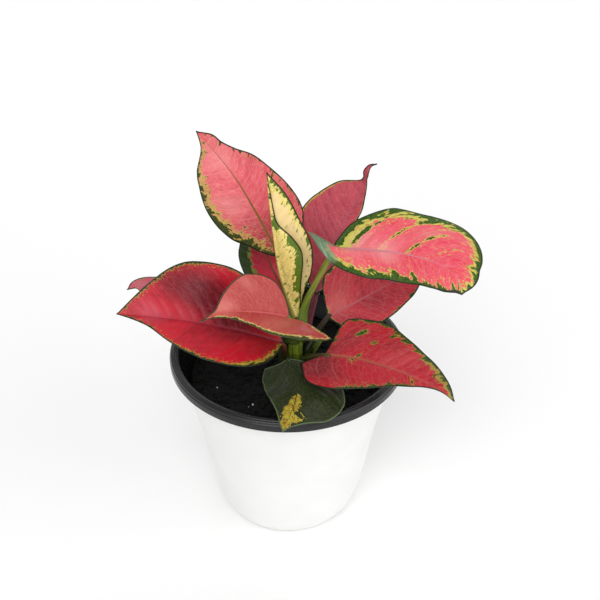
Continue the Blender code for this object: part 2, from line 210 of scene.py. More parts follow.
COMMON_LEAF = {"clouded": 0.6, "streaked": 0.3, "freckled": 0.1, "freckle": "cream", "puckered": 0.8,
               "blotches": [], "shade_and_sheen_tints": [], "thin": False, "turned_lobe": (0.0, 0.0),
               "edge": "121C08"}
COMMON_HALF = {"fold": (0, 0), "curl": (0, 0), "sweep": (0, 0), "early": 1.4}
LEAVES = {
    "leaf_tall_left": {
        "rib": [(-5, 22, 178), (-16, 26, 201), (-30, 24, 231), (-43, 20, 253), (-51, 14, 267)],
        "face": (0.1, -0.9, 0.5), "stalk": (135, 136, [(0, 14, 152)]),
        "stalk_hues": ("4F6A22", "8A9A3A", "2A3D12"),
        "left": {"width": (0, 6.5, 11.5, 16, 22.5, 26, 27.5, 27.5, 26, 23, 17.5, 6, 0), "fold": (10, 20),
                 "curl": (15, 15), "sweep": (0, -6, 0, 0, 0),
                 "green": (0.6, 1.0, 2.6, 3.4, 2.2, 1.4, 0.3),
                 "cream": (1.0, 3.0, 5.0, 7.0, 7.0, 4.5, 0.3)},
        "right": {"width": (0, 18, 25, 27, 26.5, 25, 22.5, 19.5, 16, 10.5, 7, 5.5, 0), "fold": (0, 5),
                  "curl": (10, 10), "green": (0.5, 0.7, 0.8, 0.7, 0.5, 0.4, 0.2),
                  "cream": (0.5, 0.6, 1.2, 1.2, 0.6, 0.4, 0.2)},
        "hues": ("E4626E", "D03C50", "EBA09C", "EDB0A4", "86602C", "BCAA54", "26380E", "74802A", "A4323C"),
        "margin": (12, 6, 13, 0.7), "clouded": 0.5, "freckled": 9,
        "shade_and_sheen_tints": [(0.48, -0.5, 12, -0.5), (0.74, -0.1, 12, -0.5), (0.88, 0.2, 8, -0.25),
                  (0.12, 0.1, 20, 1.0), (0.62, 0.75, 7, 0.35)],
    },
    "leaf_furled_centre": {
        "rib": [(6, -2, 151), (-3, 0, 181), (-7, 2, 208), (-11, 4, 246)],
        "face": (0.35, -0.85, 0.35), "stalk": (None, CANE_TOP + 2 * GAP, []),
        "stalk_hues": ("6E8A26", "B9BE55", "3A5216"),
        "left": {"width": (2, 5.5, 8.5, 12, 15, 17.5, 17.5, 12, 3.5, 2, 2, 1.5, 0),
                 "fold": (100, 95, 90, 88, 88, 75, 60), "curl": (80, 85, 90, 90, 80, 30, 0),
                 "green": (0.8, 1.5, 4.0, 5.0, 1.2, 0.8, 0.4), "cream": (20, 20, 20, 20, 20, 20, 5)},
        "right": {"width": (3, 7, 17, 21, 16, 9, 0), "fold": (10, 0), "curl": (10, 10),
                  "green": (0.8, 0.9, 1.0, 1.4, 1.6, 1.4, 0.5), "cream": (4, 3, 2, 2, 4, 5, 5)},
        "hues": ("F2D694", "E8C888", "F0DDB4", "E6D39C", "A89A48", "F2DC80", "4E6E14", "8A9234", "C0A060"),
        "margin": (12, 6, 12, 0.3), "freckled": 14, "freckle": "olive", "thin": True,
    },
    "leaf_arching_right": {
        "rib": [(28, -2, 199), (46, -8, 202), (68, -16, 204), (88, -26, 203), (97, -35, 198),
                (99, -41, 192)],
        "face": (0.0, -0.35, 0.95), "stalk": (-60, 136, [(9.5, -5, 152), (14, -3, 168)]),
        "stalk_hues": ("5E7420", "9AA23E", "33471A"),
        "left": {"width": (4, 15, 21, 26, 29.5, 30, 30.5, 32, 33, 32.5, 26.5, 14.5, 0),
                 "fold": (30, 15, 0), "curl": (-10, -30), "green": (3.5, 5.0, 4.0, 3.4, 2.0, 3.4, 1.0),
                 "cream": (13.0, 11.0, 7.0, 6.0, 5.0, 6.0, 3.0)},
        "right": {"width": (15.5, 20.5, 21, 20, 19.5, 19, 19, 18.5, 17.5, 16, 11.5, 4, 0),
                  "fold": (100, 50, 10, 0, 0, 0, 0), "curl": (-20, -20),
                  "sweep": (-13, -9, -6, -2, -1, 0, 0, 0, 1, 3, 6, 5, 0),
                  "green": (3.0, 4.2, 4.8, 4.4, 3.2, 1.4, 0.5),
                  "cream": (4.6, 6.0, 6.2, 5.4, 3.8, 2.0, 1.8)},
        "hues": ("E24A60", "DA2E48", "E4989A", "E8A080", "C8808A", "C6C256", "26480A", "76902A", "D03A56"),
        "margin": (10, 2.5, 11, 0.5), "clouded": 0.7, "freckled": 12, "turned_lobe": (0.15, 6.5),
        "shade_and_sheen_tints": [(0.1, -0.25, 12, -0.8), (0.35, 0.05, 9, -0.7), (0.6, -0.6, 9, -0.4)],
        "blotches": [(0.22, -0.62, 9, 1.8), (0.56, -0.86, 5, 2.0), (0.42, -0.5, 9, 0.8),
                     (0.6, -0.45, 8, 0.8), (0.76, -0.5, 6, 0.8), (0.30, 0.78, 3.6, 2.9),
                     (0.47, 0.80, 3.4, 2.7), (0.62, 0.82, 3.2, 2.6)],
    },
    "leaf_back_hooked": {
        "rib": [(18, 40, 138), (29, 44, 175), (40, 49, 197), (48, 51, 213), (49, 49, 220), (49, 47, 225),
                (51, 46, 229.5), (55, 45, 231.3)],
        "face": (-0.3, -0.9, 0.4), "stalk": (55, 114, [(12, 18, 121)]),
        "stalk_hues": ("6A2A30", "8C2F45", "3A1218"),
        "left": {"width": (0, 9, 15, 21, 25.5, 28, 27.5, 25, 20.5, 14.5, 3, 2, 0), "fold": (10, 10),
                 "curl": (10, 10), "green": (0.5, 0.5, 0.5, 0.5, 0.5, 0.4, 0.2),
                 "cream": (1.0, 1.0, 1.4, 1.6, 1.6, 0.6, 0.2)},
        "right": {"width": (0, 6, 8.5, 10, 10, 9.5, 9, 9, 8.5, 5, 1.2, 2.2, 0), "fold": (20, 20),
                  "curl": (20, 20), "green": (0.8, 1.0, 1.2, 1.2, 1.0, 0.4, 0.2),
                  "cream": (1.2, 1.4, 1.6, 1.6, 1.4, 0.6, 0.2)},
        "hues": ("C8505E", "AC3848", "C87078", "C9808A", "B06070", "D0B552", "263A1A", "7A7A30", "7E2A3C"),
        "margin": (2, 2, 3, 0.3),
        "shade_and_sheen_tints": [(0.45, -0.3, 16, 0.4)],
    },
    "leaf_back_centre": {
        "rib": [(1, 25, 144), (-10, 38, 159), (-17, 52, 173), (-25, 60, 191)],
        "face": (0.2, -0.8, 0.6), "stalk": (95, 123, []), "stalk_hues": ("3C4A1C", "5A3A22", "1C2410"),
        "left": {"width": (0, 9, 18, 20, 18, 10, 0), "fold": (10, 10), "curl": (10, 10),
                 "green": (3, 4, 6, 7, 7, 5, 2), "cream": (4, 5, 7.5, 8.5, 8.5, 6, 3)},
        "right": {"width": (0, 7, 14, 16, 13, 7, 0), "fold": (10, 10), "curl": (10, 10),
                  "green": (1, 1.2, 1.5, 1.8, 1.5, 1.2, 0.6), "cream": (1.5, 2, 2.2, 2.4, 2, 1.6, 1)},
        "hues": ("C82A3C", "A01C34", "B83048", "B84A58", "6A4020", "6F7A30", "24361A", "58682A", "4A0A16"),
        "edge": "182414", "margin": (6, 8, 6, 0.3),
        "shade_and_sheen_tints": [(0.6, -0.4, 14, 0.6)],
    },
    "leaf_low_left": {
        "rib": [(-2, -14, 138), (-28, -22, 153), (-57, -26, 163), (-80, -28, 168), (-100, -28, 170)],
        "face": (0.0, -0.1, 1.0), "stalk": (215, 118, []),
        "stalk_hues": ("3E4A20", "7A3A30", "20280F"),
        "left": {"width": (0, 15, 27, 29, 22, 6, 0), "curl": (-10, -10),
                 "green": (1.0, 1.8, 1.6, 1.0, 1.0, 0.8, 0.4),
                 "cream": (1.6, 3.6, 3.0, 1.6, 1.6, 1.0, 0.8)},
        "right": {"width": (0, 14.5, 24, 29.5, 34, 36.5, 37, 36.5, 34.5, 29, 20.5, 10.5, 0),
                  "fold": (40, 45), "curl": (10, 10), "green": (0.8, 0.9, 1.1, 1.1, 1.4, 1.0, 0.4),
                  "cream": (1.0, 1.2, 1.4, 1.4, 1.9, 1.4, 0.8)},
        "hues": ("C00E24", "960818", "C05060", "B84050", "8E2436", "A89A34", "20300E", "7E7E30", "4E0812"),
        "margin": (3, 3, 6, 0.5), "streaked": 0.14, "freckled": 4,
        "shade_and_sheen_tints": [(0.42, 0.38, 20, 1.1), (0.75, 0.8, 16, 0.5), (0.8, 0.1, 10, -0.6), (0.6, 0.1, 7, -0.3)],
    },
    "leaf_folded_front": {
        "rib": [(2, -16, 159), (-10, -22, 166), (-23, -30, 173), (-36, -38, 178), (-49, -44, 176)],
        "face": (0.0, -0.2, 1.0), "stalk": (250, 134, []),
        "stalk_hues": ("4A5A20", "8A9A3C", "26350F"),
        "left": {"width": (18, 21, 24.5, 28, 30, 30, 27.5, 23, 16.5, 9, 4, 1, 0), "fold": (15, 20),
                 "curl": (-10, -10), "sweep": (-22, -20, -10, 0, 0, 0, 0), "early": 0.45,
                 "green": (0.6, 1.2, 2.4, 2.2, 1.2, 0.4, 0.1),
                 "cream": (1.2, 2.4, 4.2, 4.0, 2.4, 1.5, 1.5)},
        "right": {"width": (0, 9, 15, 19.5, 21.5, 22.5, 22.5, 22, 18.5, 12, 3.5, 1.5, 0),
                  "fold": (50, 60), "curl": (10, 0), "green": (-1.5, -1.5, -1.5, -1.5, -1.5, -1, 0.2),
                  "cream": (-1.2, -1.2, -1.2, -1.2, -1.2, -0.5, 1.0)},
        "hues": ("B84240", "A83636", "DA8278", "D0806E", "C9615F", "DCCB7A", "26400E", "7C8A34", "AE3F42"),
        "edge": "2E3A1A", "margin": (4, 3, 6, 0.4), "clouded": 0.4,
        "shade_and_sheen_tints": [(0.2, 0.5, 12, 0.5), (0.35, -0.5, 12, -0.5), (0.6, 0.6, 12, 0.6), (0.75, 0.2, 9, -0.7),
                  (0.55, 0.8, 6, -0.5)],
    },
    "leaf_low_right": {
        "rib": [(23, -28, 140), (43, -36, 143), (66, -48, 143), (88, -57, 137), (98, -60, 130)],
        "face": (0.0, -0.3, 0.95), "stalk": (310, 116, []),
        "stalk_hues": ("3C4A1E", "6A5A30", "1E280F"),
        "left": {"width": (3, 22, 26.5, 27, 27.5, 26, 22.5, 19.5, 16.5, 14, 10.5, 6, 0), "fold": (10, 10),
                 "sweep": (0, -4, 0, 0, 0), "green": (0.8, 1.0, 1.6, 2.4, 2.0, 1.6, 0.6),
                 "cream": (0.9, 1.2, 2.0, 2.8, 3.0, 4.6, 4.0)},
        "right": {"width": (9, 19, 24, 25.5, 23.5, 20, 15.5, 11, 7.5, 4, 1.5, 0.5, 0),
                  "sweep": (-14, -15, -8, -2, 0, 0, 0), "early": 0.8,
                  "green": (-4, -3, 1.0, 1.8, 1.0, 0.6, 0.4), "cream": (-4, -3, 1.4, 2.4, 1.2, 1.0, 3.0)},
        "hues": ("B01E2E", "8E1226", "BC5052", "C46C62", "A0523C", "94843A", "243E12", "8A8A30", "7C2A32"),
        "margin": (8, 4, 9, 0.5), "streaked": 0.2, "freckled": 6,
        "shade_and_sheen_tints": [(0.03, 0.6, 11, 1.3), (0.15, -0.5, 9, 0.5), (0.5, -0.3, 12, -0.4)],
        "blotches": [(0.24, -0.7, 2, 1.7), (0.32, -0.5, 1.6, 1.3), (0.24, -0.07, 3, 1.3),
                     (0.22, 0.06, 2.4, 1.2), (0.66, 0.3, 4, 0.8), (0.44, -0.84, 2, 1.8)],
    },
    "leaf_right": {
        "rib": [(25, 4, 145), (45, 14, 151), (68, 24, 159), (88, 30, 167)],
        "face": (0.0, -0.6, 0.8), "stalk": (5, 122, []), "stalk_hues": ("232D14", "3A2C1C", "141A0C"),
        "left": {"width": (0, 19, 27, 26, 20, 10, 0), "fold": (10, 10),
                 "green": (0.6, 0.8, 0.8, 0.8, 0.8, 0.6, 0.3), "cream": (1, 1.2, 1.4, 1.4, 1.2, 1, 0.5)},
        "right": {"width": (0, 16, 20, 20, 17, 11, 0), "fold": (10, 0),
                  "green": (0.6, 0.8, 1.0, 1.2, 1.2, 1.0, 0.5), "cream": (1, 1, 1.3, 1.5, 1.5, 1.2, 0.6)},
        "hues": ("C43444", "9C2032", "C87068", "CC7C7C", "B85A60", "B5A848", "24381A", "7A7A34", "8C2030"),
        "margin": (4, 3, 6, 0.4),
        "shade_and_sheen_tints": [(0.15, -0.3, 12, -0.55), (0.5, 0.4, 14, 0.4), (0.1, 0.4, 10, 0.5)],
    },
    "leaf_front_drooping": {
        "rib": [(1, -24, 134), (6, -38, 131), (5, -60, 131), (-2, -84, 128)],
        "face": (0.0, -0.1, 0.95), "stalk": (262, 112, []),
        "stalk_hues": ("2E4020", "34432A", "16200F"),
        "left": {"width": (0, 13, 19, 24, 27, 28.5, 29, 28, 26, 21, 12.5, 4, 0), "fold": (-15, -8, 5),
                 "green": (30, 30, 30, 29, 20, 2, 0.4), "cream": (20, 20, 20, 30, 30, 22, 9)},
        "right": {"width": (18, 21.5, 22.5, 23, 21.5, 19.5, 17, 15, 12.5, 9.5, 6.5, 3.5, 0),
                  "fold": (-30, -15, 0), "curl": (-20, -10, 0), "sweep": (-6, -4, 0, 0, 0),
                  "green": (30, 30, 30, 20, 8, 1, 0.4), "cream": (20, 25, 25, 30, 30, 22, 9)},
        "hues": ("8A2A22", "7C2420", "B86A3C", "3A4A34", "2A3626", "B4A834", "1A2216", "6A7A30", "141A12"),
        "edge": "5A6A44", "margin": (4, 5, 12, 0.75), "puckered": 1.8,
        "shade_and_sheen_tints": [(0.15, 0.0, 20, 1.0)],
    },
    "leaf_back_left": {
        "rib": [(-3, 14, 137), (-37, 22, 143), (-73, 26, 150), (-95, 26, 156), (-103, 22, 154)],
        "face": (0.0, 0.0, 1.0), "stalk": (165, 113, []), "stalk_hues": ("3C4A1E", "6A4A30", "1E280F"),
        "left": {"width": (0, 8, 16, 21, 20, 12, 0), "curl": (-10, -10),
                 "green": (0.5, 0.8, 1.0, 1.0, 0.9, 0.6, 0.3), "cream": (1, 1.2, 1.5, 1.5, 1.4, 1, 0.5)},
        "right": {"width": (0, 5, 12, 16, 16, 9, 0), "curl": (10, 10),
                  "green": (0.5, 0.6, 0.7, 0.7, 0.6, 0.5, 0.3), "cream": (1, 1, 1.2, 1.2, 1, 0.8, 0.5)},
        "hues": ("BC4858", "BC3C50", "C86A72", "DE959A", "B4606A", "BDB052", "2A401C", "7E8030", "A83848"),
        "edge": "1E2E18", "margin": (2, 2, 3, 0.3),
        "shade_and_sheen_tints": [(0.9, 0.0, 10, -0.6)],
    },
}


# Meshes

def unit(vectors):
    return vectors / np.linalg.norm(vectors, axis=-1, keepdims=True)


def make_piece(name, points, faces, finish, node, smooth=True):
    """A mesh piece in metres from points in millimetres, standing for a CAD node."""
    mesh = bpy.data.meshes.new(name)
    mesh.from_pydata([tuple(point) for point in np.asarray(points, float) * MM], [], faces)
    if smooth:
        mesh.shade_smooth()
    return own_mesh(name, mesh, finish, node)


def own_mesh(name, mesh, finish, node):
    mesh.materials.append(finish)
    piece = bpy.data.objects.new(name, mesh)
    bpy.context.scene.collection.objects.link(piece)
    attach(piece, "root")
    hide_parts(node)
    return piece


def sheet_faces(rows, columns, first=0, flip=False):
    """Faces of a closed sheet: one grid of points, the next grid as its other side, and its edge."""
    count = rows * columns
    faces = []
    for row in range(rows - 1):
        for column in range(columns - 1):
            start = first + row * columns + column
            face = (start, start + 1, start + columns + 1, start + columns)
            faces += [face, tuple(corner + count for corner in face[::-1])]
    loop = ([(row, 0) for row in range(rows - 1, 0, -1)] + [(0, column) for column in range(columns - 1)]
            + [(row, columns - 1) for row in range(rows - 1)]
            + [(rows - 1, column) for column in range(columns - 1, 0, -1)])
    ring = [first + row * columns + column for row, column in loop]
    for here, after in zip(ring, ring[1:] + ring[:1]):
        faces.append((after, here, here + count, after + count))
    return [face[::-1] for face in faces] if flip else faces


def round_faces(turns, count, flip=False):
    """Faces of a closed round body of count points: one pole, its rings of points, the other pole."""
    last = count - 1
    faces = []
    for turn in range(turns):
        after = (turn + 1) % turns
        faces.append((0, 1 + after, 1 + turn))
        for here in range(1, last - turns, turns):
            faces.append((here + turn, here + after, here + turns + after, here + turns + turn))
        faces.append((last - turns + turn, last - turns + after, last))
    return [face[:1] + face[:0:-1] for face in faces] if flip else faces


def mark(piece, facts):
    """Writes on the points of a piece what its material reads there."""
    for key, values in facts.items():
        layer = piece.data.attributes.new(key, "FLOAT", "POINT")
        layer.data.foreach_set("value", np.array(values, np.float32))


def turned(name, outline, turns, finish, node):
    """One closed body of revolution about Z from a closed outline of (radius, height) in mm."""
    shape = bmesh.new()
    corners = [shape.verts.new((radius * MM, 0.0, height * MM)) for radius, height in outline]
    edges = []
    for start, end in zip(corners, corners[1:] + corners[:1]):
        if start.co.x > 0.0 or end.co.x > 0.0:
            edges.append(shape.edges.new((start, end)))
    bmesh.ops.spin(shape, geom=corners + edges, cent=(0, 0, 0), axis=(0, 0, 1),
                   angle=2 * math.pi, steps=turns, use_merge=True, use_duplicate=False)
    bmesh.ops.remove_doubles(shape, verts=shape.verts, dist=0.001 * MM)
    bmesh.ops.recalc_face_normals(shape, faces=shape.faces)
    mesh = bpy.data.meshes.new(name)
    shape.to_mesh(mesh)
    shape.free()
    mesh.shade_smooth()
    mesh.set_sharp_from_angle(angle=math.radians(SHARP_ANGLE))
    return own_mesh(name, mesh, finish, node)


# Materials

def linear(code):
    """A hex colour as sRGB, turned into the linear colour that a shader takes."""
    channels = [int(code[place:place + 2], 16) / 255 for place in (0, 2, 4)]
    return (*(c / 12.92 if c <= 0.04045 else ((c + 0.055) / 1.055) ** 2.4 for c in channels), 1.0)


def add(tree, kind, inputs=None, output=0, **settings):
    """Adds a node with its settings; an input is a socket to link or a value. Returns an output."""
    node = tree.nodes.new(kind)
    for name, value in settings.items():
        setattr(node, name, value)
    for key, value in (inputs or {}).items():
        if isinstance(value, bpy.types.NodeSocket):
            tree.links.new(value, node.inputs[key])
        else:
            node.inputs[key].default_value = value
    return node.outputs[output]


def new_material(name, **sockets):
    """A material with its uniform values on the shader's own sockets, and its node tree."""
    finish = bpy.data.materials.new(name)
    finish.use_nodes = True
    shader = finish.node_tree.nodes["Principled BSDF"]
    for key, value in sockets.items():
        shader.inputs[key.replace("_", " ")].default_value = value
    return finish, finish.node_tree


def coat(tree, relief, strength, depth, **patterns):
    """Links each pattern to the shader's socket of that name, and a relief up to depth mm deep."""
    shader = tree.nodes["Principled BSDF"]
    patterns["Normal"] = add(tree, "ShaderNodeBump", {"Height": relief, "Strength": strength,
                                                      "Distance": depth * MM})
    for key, pattern in patterns.items():
        tree.links.new(pattern, shader.inputs[key.replace("_", " ")])


def painted(tree, base, layers):
    """The base colour with each (mask, colour) layer laid over it in turn."""
    colour = base
    for mask, over in layers:
        colour = add(tree, "ShaderNodeMix", {0: mask, 6: colour, 7: over}, output=2, data_type="RGBA")
    return colour


def grown(tree, place, scales, detail, roughness=0.6):
    """A cloudy pattern about 0.5, stretched by its own scale along each axis."""
    stretched = add(tree, "ShaderNodeVectorMath", {0: place, 1: scales}, operation="MULTIPLY")
    return add(tree, "ShaderNodeTexNoise", {"Vector": stretched, "Scale": 1.0, "Detail": detail,
                                            "Roughness": roughness})


def masked(tree, *steps):
    """Where every pattern has passed its step: (pattern, where it starts, where it is full, most)."""
    mask = None
    for pattern, start, full, most in steps:
        step = add(tree, "ShaderNodeMapRange", {0: pattern, 1: start, 2: full, 3: 0.0, 4: most},
                   interpolation_type="SMOOTHSTEP")
        if mask is None:
            mask = step
        else:
            mask = add(tree, "ShaderNodeMath", {0: mask, 1: step}, operation="MULTIPLY")
    return mask


def leaf_material(name, leaf, seed):
    """Living leaf blade, waxy and semi-gloss.

    The skin gives a soft broad shine. Under it the red flesh is clouded, with a fine net of veins, and
    towards the margin it breaks up into cream and green flecks that run along the side veins.
    """
    hues = {key: linear(code) for key, code in zip(LEAF_HUES, leaf["hues"])}
    wander, comb, crumb, islands = leaf["margin"]
    finish, tree = new_material(name + "_blade_skin", IOR=1.35)
    read = {key: add(tree, "ShaderNodeAttribute", output=2, attribute_name=key)
            for key in ("vein_mm", "side_mm", "rim_mm", "green_mm", "cream_mm", "under", "rib_mm",
                        "dusky_and_shaded", "faded_and_sheened")}

    # The blade is mapped in millimetres, so a scale is one over a size. Clouds are 10 mm across, combed
    # streaks 2 by 7 mm, patches 3 mm and flecks 1.3 mm. Real cells are too fine to show: these are 0.5 mm.
    place = add(tree, "ShaderNodeCombineXYZ", {0: read["vein_mm"], 1: read["side_mm"], 2: seed})
    clouds = grown(tree, place, (0.1, 0.1, 0.1), 3.0)
    streaks = grown(tree, place, (0.5, 0.15, 1.0), 4.0)
    patches = grown(tree, place, (0.34, 0.34, 0.34), 3.0)
    flecks = grown(tree, place, (0.8, 0.8, 0.8), 2.0)
    cells = grown(tree, place, (2.2, 2.2, 2.2), 2.0)
    from_vein = add(tree, "ShaderNodeMath", {0: read["vein_mm"], 1: VEIN_PITCH / 2},
                    operation="PINGPONG")
    # The meshes of the vein net are about 3 by 4.5 mm
    warped = add(tree, "ShaderNodeVectorMath", {0: place, 1: (0.34, 0.22, 1.0)}, operation="MULTIPLY")
    net = add(tree, "ShaderNodeTexVoronoi", {"Vector": warped, "Scale": 1.0},
              feature="DISTANCE_TO_EDGE")

    # The coloured margins wander in and out, comb along the side veins and crumble
    shift = -(wander + comb + crumb) / 2
    for pattern, amount in ((clouds, wander), (streaks, comb), (patches, crumb)):
        shift = add(tree, "ShaderNodeMath", {0: pattern, 1: amount, 2: shift}, operation="MULTIPLY_ADD")
    cream_place = add(tree, "ShaderNodeMath", {0: read["cream_mm"], 1: shift}, operation="ADD")
    green_place = add(tree, "ShaderNodeMath", {0: read["green_mm"], 1: shift}, operation="ADD")
    zone = (cream_place, -0.4, 0.5, 1.0)
    island = 0.62 - 0.16 * islands
    deepen = masked(tree, (clouds, 0.42, 0.66, leaf["clouded"]))
    greens = painted(tree, hues["green"], [(masked(tree, (cells, 0.5, 0.66, 0.55)), hues["olive"])])
    creams = painted(tree, hues["cream"], [(masked(tree, (flecks, 0.46, 0.6, 0.5)), hues["olive"])])
    # Cream freckles are fine, and the others are coarse
    freckle = flecks if leaf["freckle"] == "cream" else patches

    upper = painted(tree, hues["flesh"], [
        (deepen, hues["deep"]),
        # Painted shade and painted sheen over the flesh's own darker and paler tones: the spots that darken
        # and pale it
        (masked(tree, (read["dusky_and_shaded"], 0.0, 1.0, 0.9)), hues["dusk"]),
        (masked(tree, (read["faded_and_sheened"], 0.0, 1.0, 0.8)), hues["pale"]),
        (masked(tree, (streaks, 0.5, 0.72, leaf["streaked"])), hues["pale"]),
        (masked(tree, (cells, 0.5, 0.7, 0.28)), hues["pale"]),
        (masked(tree, (net, 0.07, 0.01, 0.24)), hues["vein"]),
        (masked(tree, (from_vein, 0.35, 0.05, 1.0), (clouds, 0.4, 0.6, 0.35)), hues["vein"]),
        (masked(tree, (read["cream_mm"], -leaf["freckled"], 0.0, 1.0), (freckle, 0.61, 0.66, 1.0)),
         hues[leaf["freckle"]]),
        (masked(tree, zone, (flecks, island + 0.08, island, 1.0)), creams),
        (masked(tree, zone, (patches, 0.6, 0.66, 0.9)), greens),
        (masked(tree, (green_place, -0.3, 0.3, 1.0)), greens),
        (masked(tree, (read["rib_mm"], 0.2, -0.2, 1.0)), hues["rib"]),
        (masked(tree, (read["rim_mm"], 0.95, 0.5, 1.0)), linear(leaf["edge"])),
    ])
    lower = painted(tree, upper, [
        (0.78, linear("6C8A6A")),
        (deepen, linear("4F6B4C")),
        (masked(tree, (streaks, 0.5, 0.64, 0.4)), linear("B9C8B0")),
    ])
    colour = painted(tree, upper, [(read["under"], lower)])
    gloss = add(tree, "ShaderNodeMapRange", {0: clouds, 1: 0.35, 2: 0.65, 3: 0.3, 4: 0.42})
    coat(tree, cells, 0.12, 0.2, Base_Color=colour, Roughness=gloss)
    return finish


def stalk_material(name, codes):
    """Living leaf stalk: smooth, juicy and faintly ribbed, so it shines in narrow streaks."""
    foot, head, line = (linear(code) for code in codes)
    finish, tree = new_material(name + "_stalk_skin", Roughness=0.38, IOR=1.45)
    share, around = (add(tree, "ShaderNodeAttribute", output=2, attribute_name=key)
                     for key in ("share", "around"))
    place = add(tree, "ShaderNodeCombineXYZ", {0: share, 1: around, 2: 0.0})
    # Faint ribs about 0.2 mm apart, wider where the stalk spreads into its sheath
    ribs = grown(tree, place, (4.0, 9.0, 1.0), 3.0)
    colour = painted(tree, foot, [
        (masked(tree, (share, 0.1, 0.8, 1.0)), head),
        (masked(tree, (ribs, 0.44, 0.62, 0.75)), line),
    ])
    coat(tree, ribs, 0.3, 0.3, Base_Color=colour)
    return finish


def cane_material():
    """Young green cane wrapped in old leaf sheaths: long pale and dark streaks, dry at the foot."""
    finish, tree = new_material("sheathed_cane_skin", Roughness=0.45, IOR=1.4)
    place = add(tree, "ShaderNodeTexCoord", output=3)
    # Fibres about 1.1 mm apart and 25 mm long
    streaks = grown(tree, place, (900.0, 900.0, 40.0), 4.0)
    height = add(tree, "ShaderNodeSeparateXYZ", {0: place}, output=2)
    colour = painted(tree, linear("8EA032"), [
        (masked(tree, (streaks, 0.44, 0.6, 0.9)), linear("3A5216")),
        (masked(tree, (height, CANE_DRY_BELOW * MM, CANE_DRIEST * MM, 0.9)), linear("4A3C22")),
    ])
    coat(tree, streaks, 0.4, 0.4, Base_Color=colour)
    return finish


def plastic_material(name, body, worn, roughness, peel, rim):
    """Injection moulded polypropylene: even and satin, with a fine orange peel, and a painted highlight
    that lightens the top of the rim.

    The mould's real orange peel is 0.2 to 0.3 mm, too fine to show, so it is drawn at peel mm.
    """
    finish, tree = new_material(name, Roughness=roughness, IOR=1.49)
    place = add(tree, "ShaderNodeTexCoord", output=3)
    grain = grown(tree, place, [1 / (peel * MM)] * 3, 3.0, 0.5)
    # Handling dulls it in patches about 22 mm across
    broad = grown(tree, place, (45.0, 45.0, 45.0), 3.0, 0.5)
    dull = add(tree, "ShaderNodeMapRange", {0: broad, 1: 0.35, 2: 0.7})
    height = add(tree, "ShaderNodeSeparateXYZ", {0: place}, output=2)
    # Painted highlight: the top of the rim takes the rim colour, lighter on the black pot, where the light
    # catches it
    rim_top_highlight = masked(tree, (height, (RIM_TOP - 3.5) * MM, (RIM_TOP - 0.8) * MM, 1.0))
    colour = painted(tree, linear(body), [(dull, linear(worn)), (rim_top_highlight, linear(rim))])
    gloss = add(tree, "ShaderNodeMapRange", {0: broad, 1: 0.3, 2: 0.7, 3: roughness - 0.06,
                                             4: roughness + 0.08})
    coat(tree, grain, 0.15, 0.2, Base_Color=colour, Roughness=gloss)
    return finish


def grainy_material(name, matt, ior, scale, detail, dark, light, limits, strength, depth):
    """Rough stuff whose grain is 1000 / scale mm, with its light parts where the grain stands up."""
    finish, tree = new_material(name, Roughness=matt, IOR=ior)
    place = add(tree, "ShaderNodeTexCoord", output=3)
    grain = grown(tree, place, (scale, scale, scale), detail, 0.5)
    raised = add(tree, "ShaderNodeMapRange", {0: grain, 1: limits[0], 2: limits[1]})
    colour = painted(tree, linear(dark), [(raised, linear(light))])
    coat(tree, grain, strength, depth, Base_Color=colour)
    return finish


def peat_material():
    """Damp peat: almost black, with brown fibres about 1.4 mm long, and quite without shine."""
    return grainy_material("peat", 0.95, 1.4, 700.0, 5.0, "030303", "0B0908", (0.5, 0.68), 0.9, 1.2)


def perlite_material():
    """Expanded perlite: white volcanic glass foam, matt, with pits about 0.7 mm across."""
    return grainy_material("perlite", 0.9, 1.5, 1500.0, 3.0, "C9C6BC", "F0EEE8", (0.4, 0.6), 0.6, 0.4)


# Pots

def bezier(start, lead, follow, end, count):
    """count points on a curve from start to end, without start itself."""
    t = np.linspace(0, 1, count + 1)[1:, None]
    start, lead, follow, end = (np.array(point, float) for point in (start, lead, follow, end))
    curve = (1 - t) ** 3 * start + 3 * t * (1 - t) ** 2 * lead + 3 * t * t * (1 - t) * follow + t ** 3 * end
    return [tuple(point) for point in curve]


def offset(line, distance):
    """Moves a profile that runs outwards and up to its left, towards the inside of the pot."""
    moved = []
    last = len(line) - 1
    for index, (radius, height) in enumerate(line):
        before = line[max(index - 1, 0)]
        after = line[min(index + 1, last)]
        run = Vector((after[0] - before[0], after[1] - before[1])).normalized()
        moved.append((max(radius - run.y * distance, 0.0), height + run.x * distance))
    return moved


def body_line(inset, top):
    """The pot's profile from the middle of the foot up to the height top, moved inwards by inset."""
    foot = (FOOT_RADIUS, 0.0)
    curve = bezier(foot, FOOT_PULL, BELLY_PULL, (BELLY_RADIUS, BELLY_HEIGHT), BODY_POINTS)
    line = offset([(0.0, 0.0), foot, *curve, (SHOULDER_RADIUS, SHOULDER_HEIGHT)], inset)
    kept = line[:-1]
    below, above = line[-2], line[-1]
    share = (top - below[1]) / (above[1] - below[1])
    return kept + [(below[0] + (above[0] - below[0]) * share, top)]


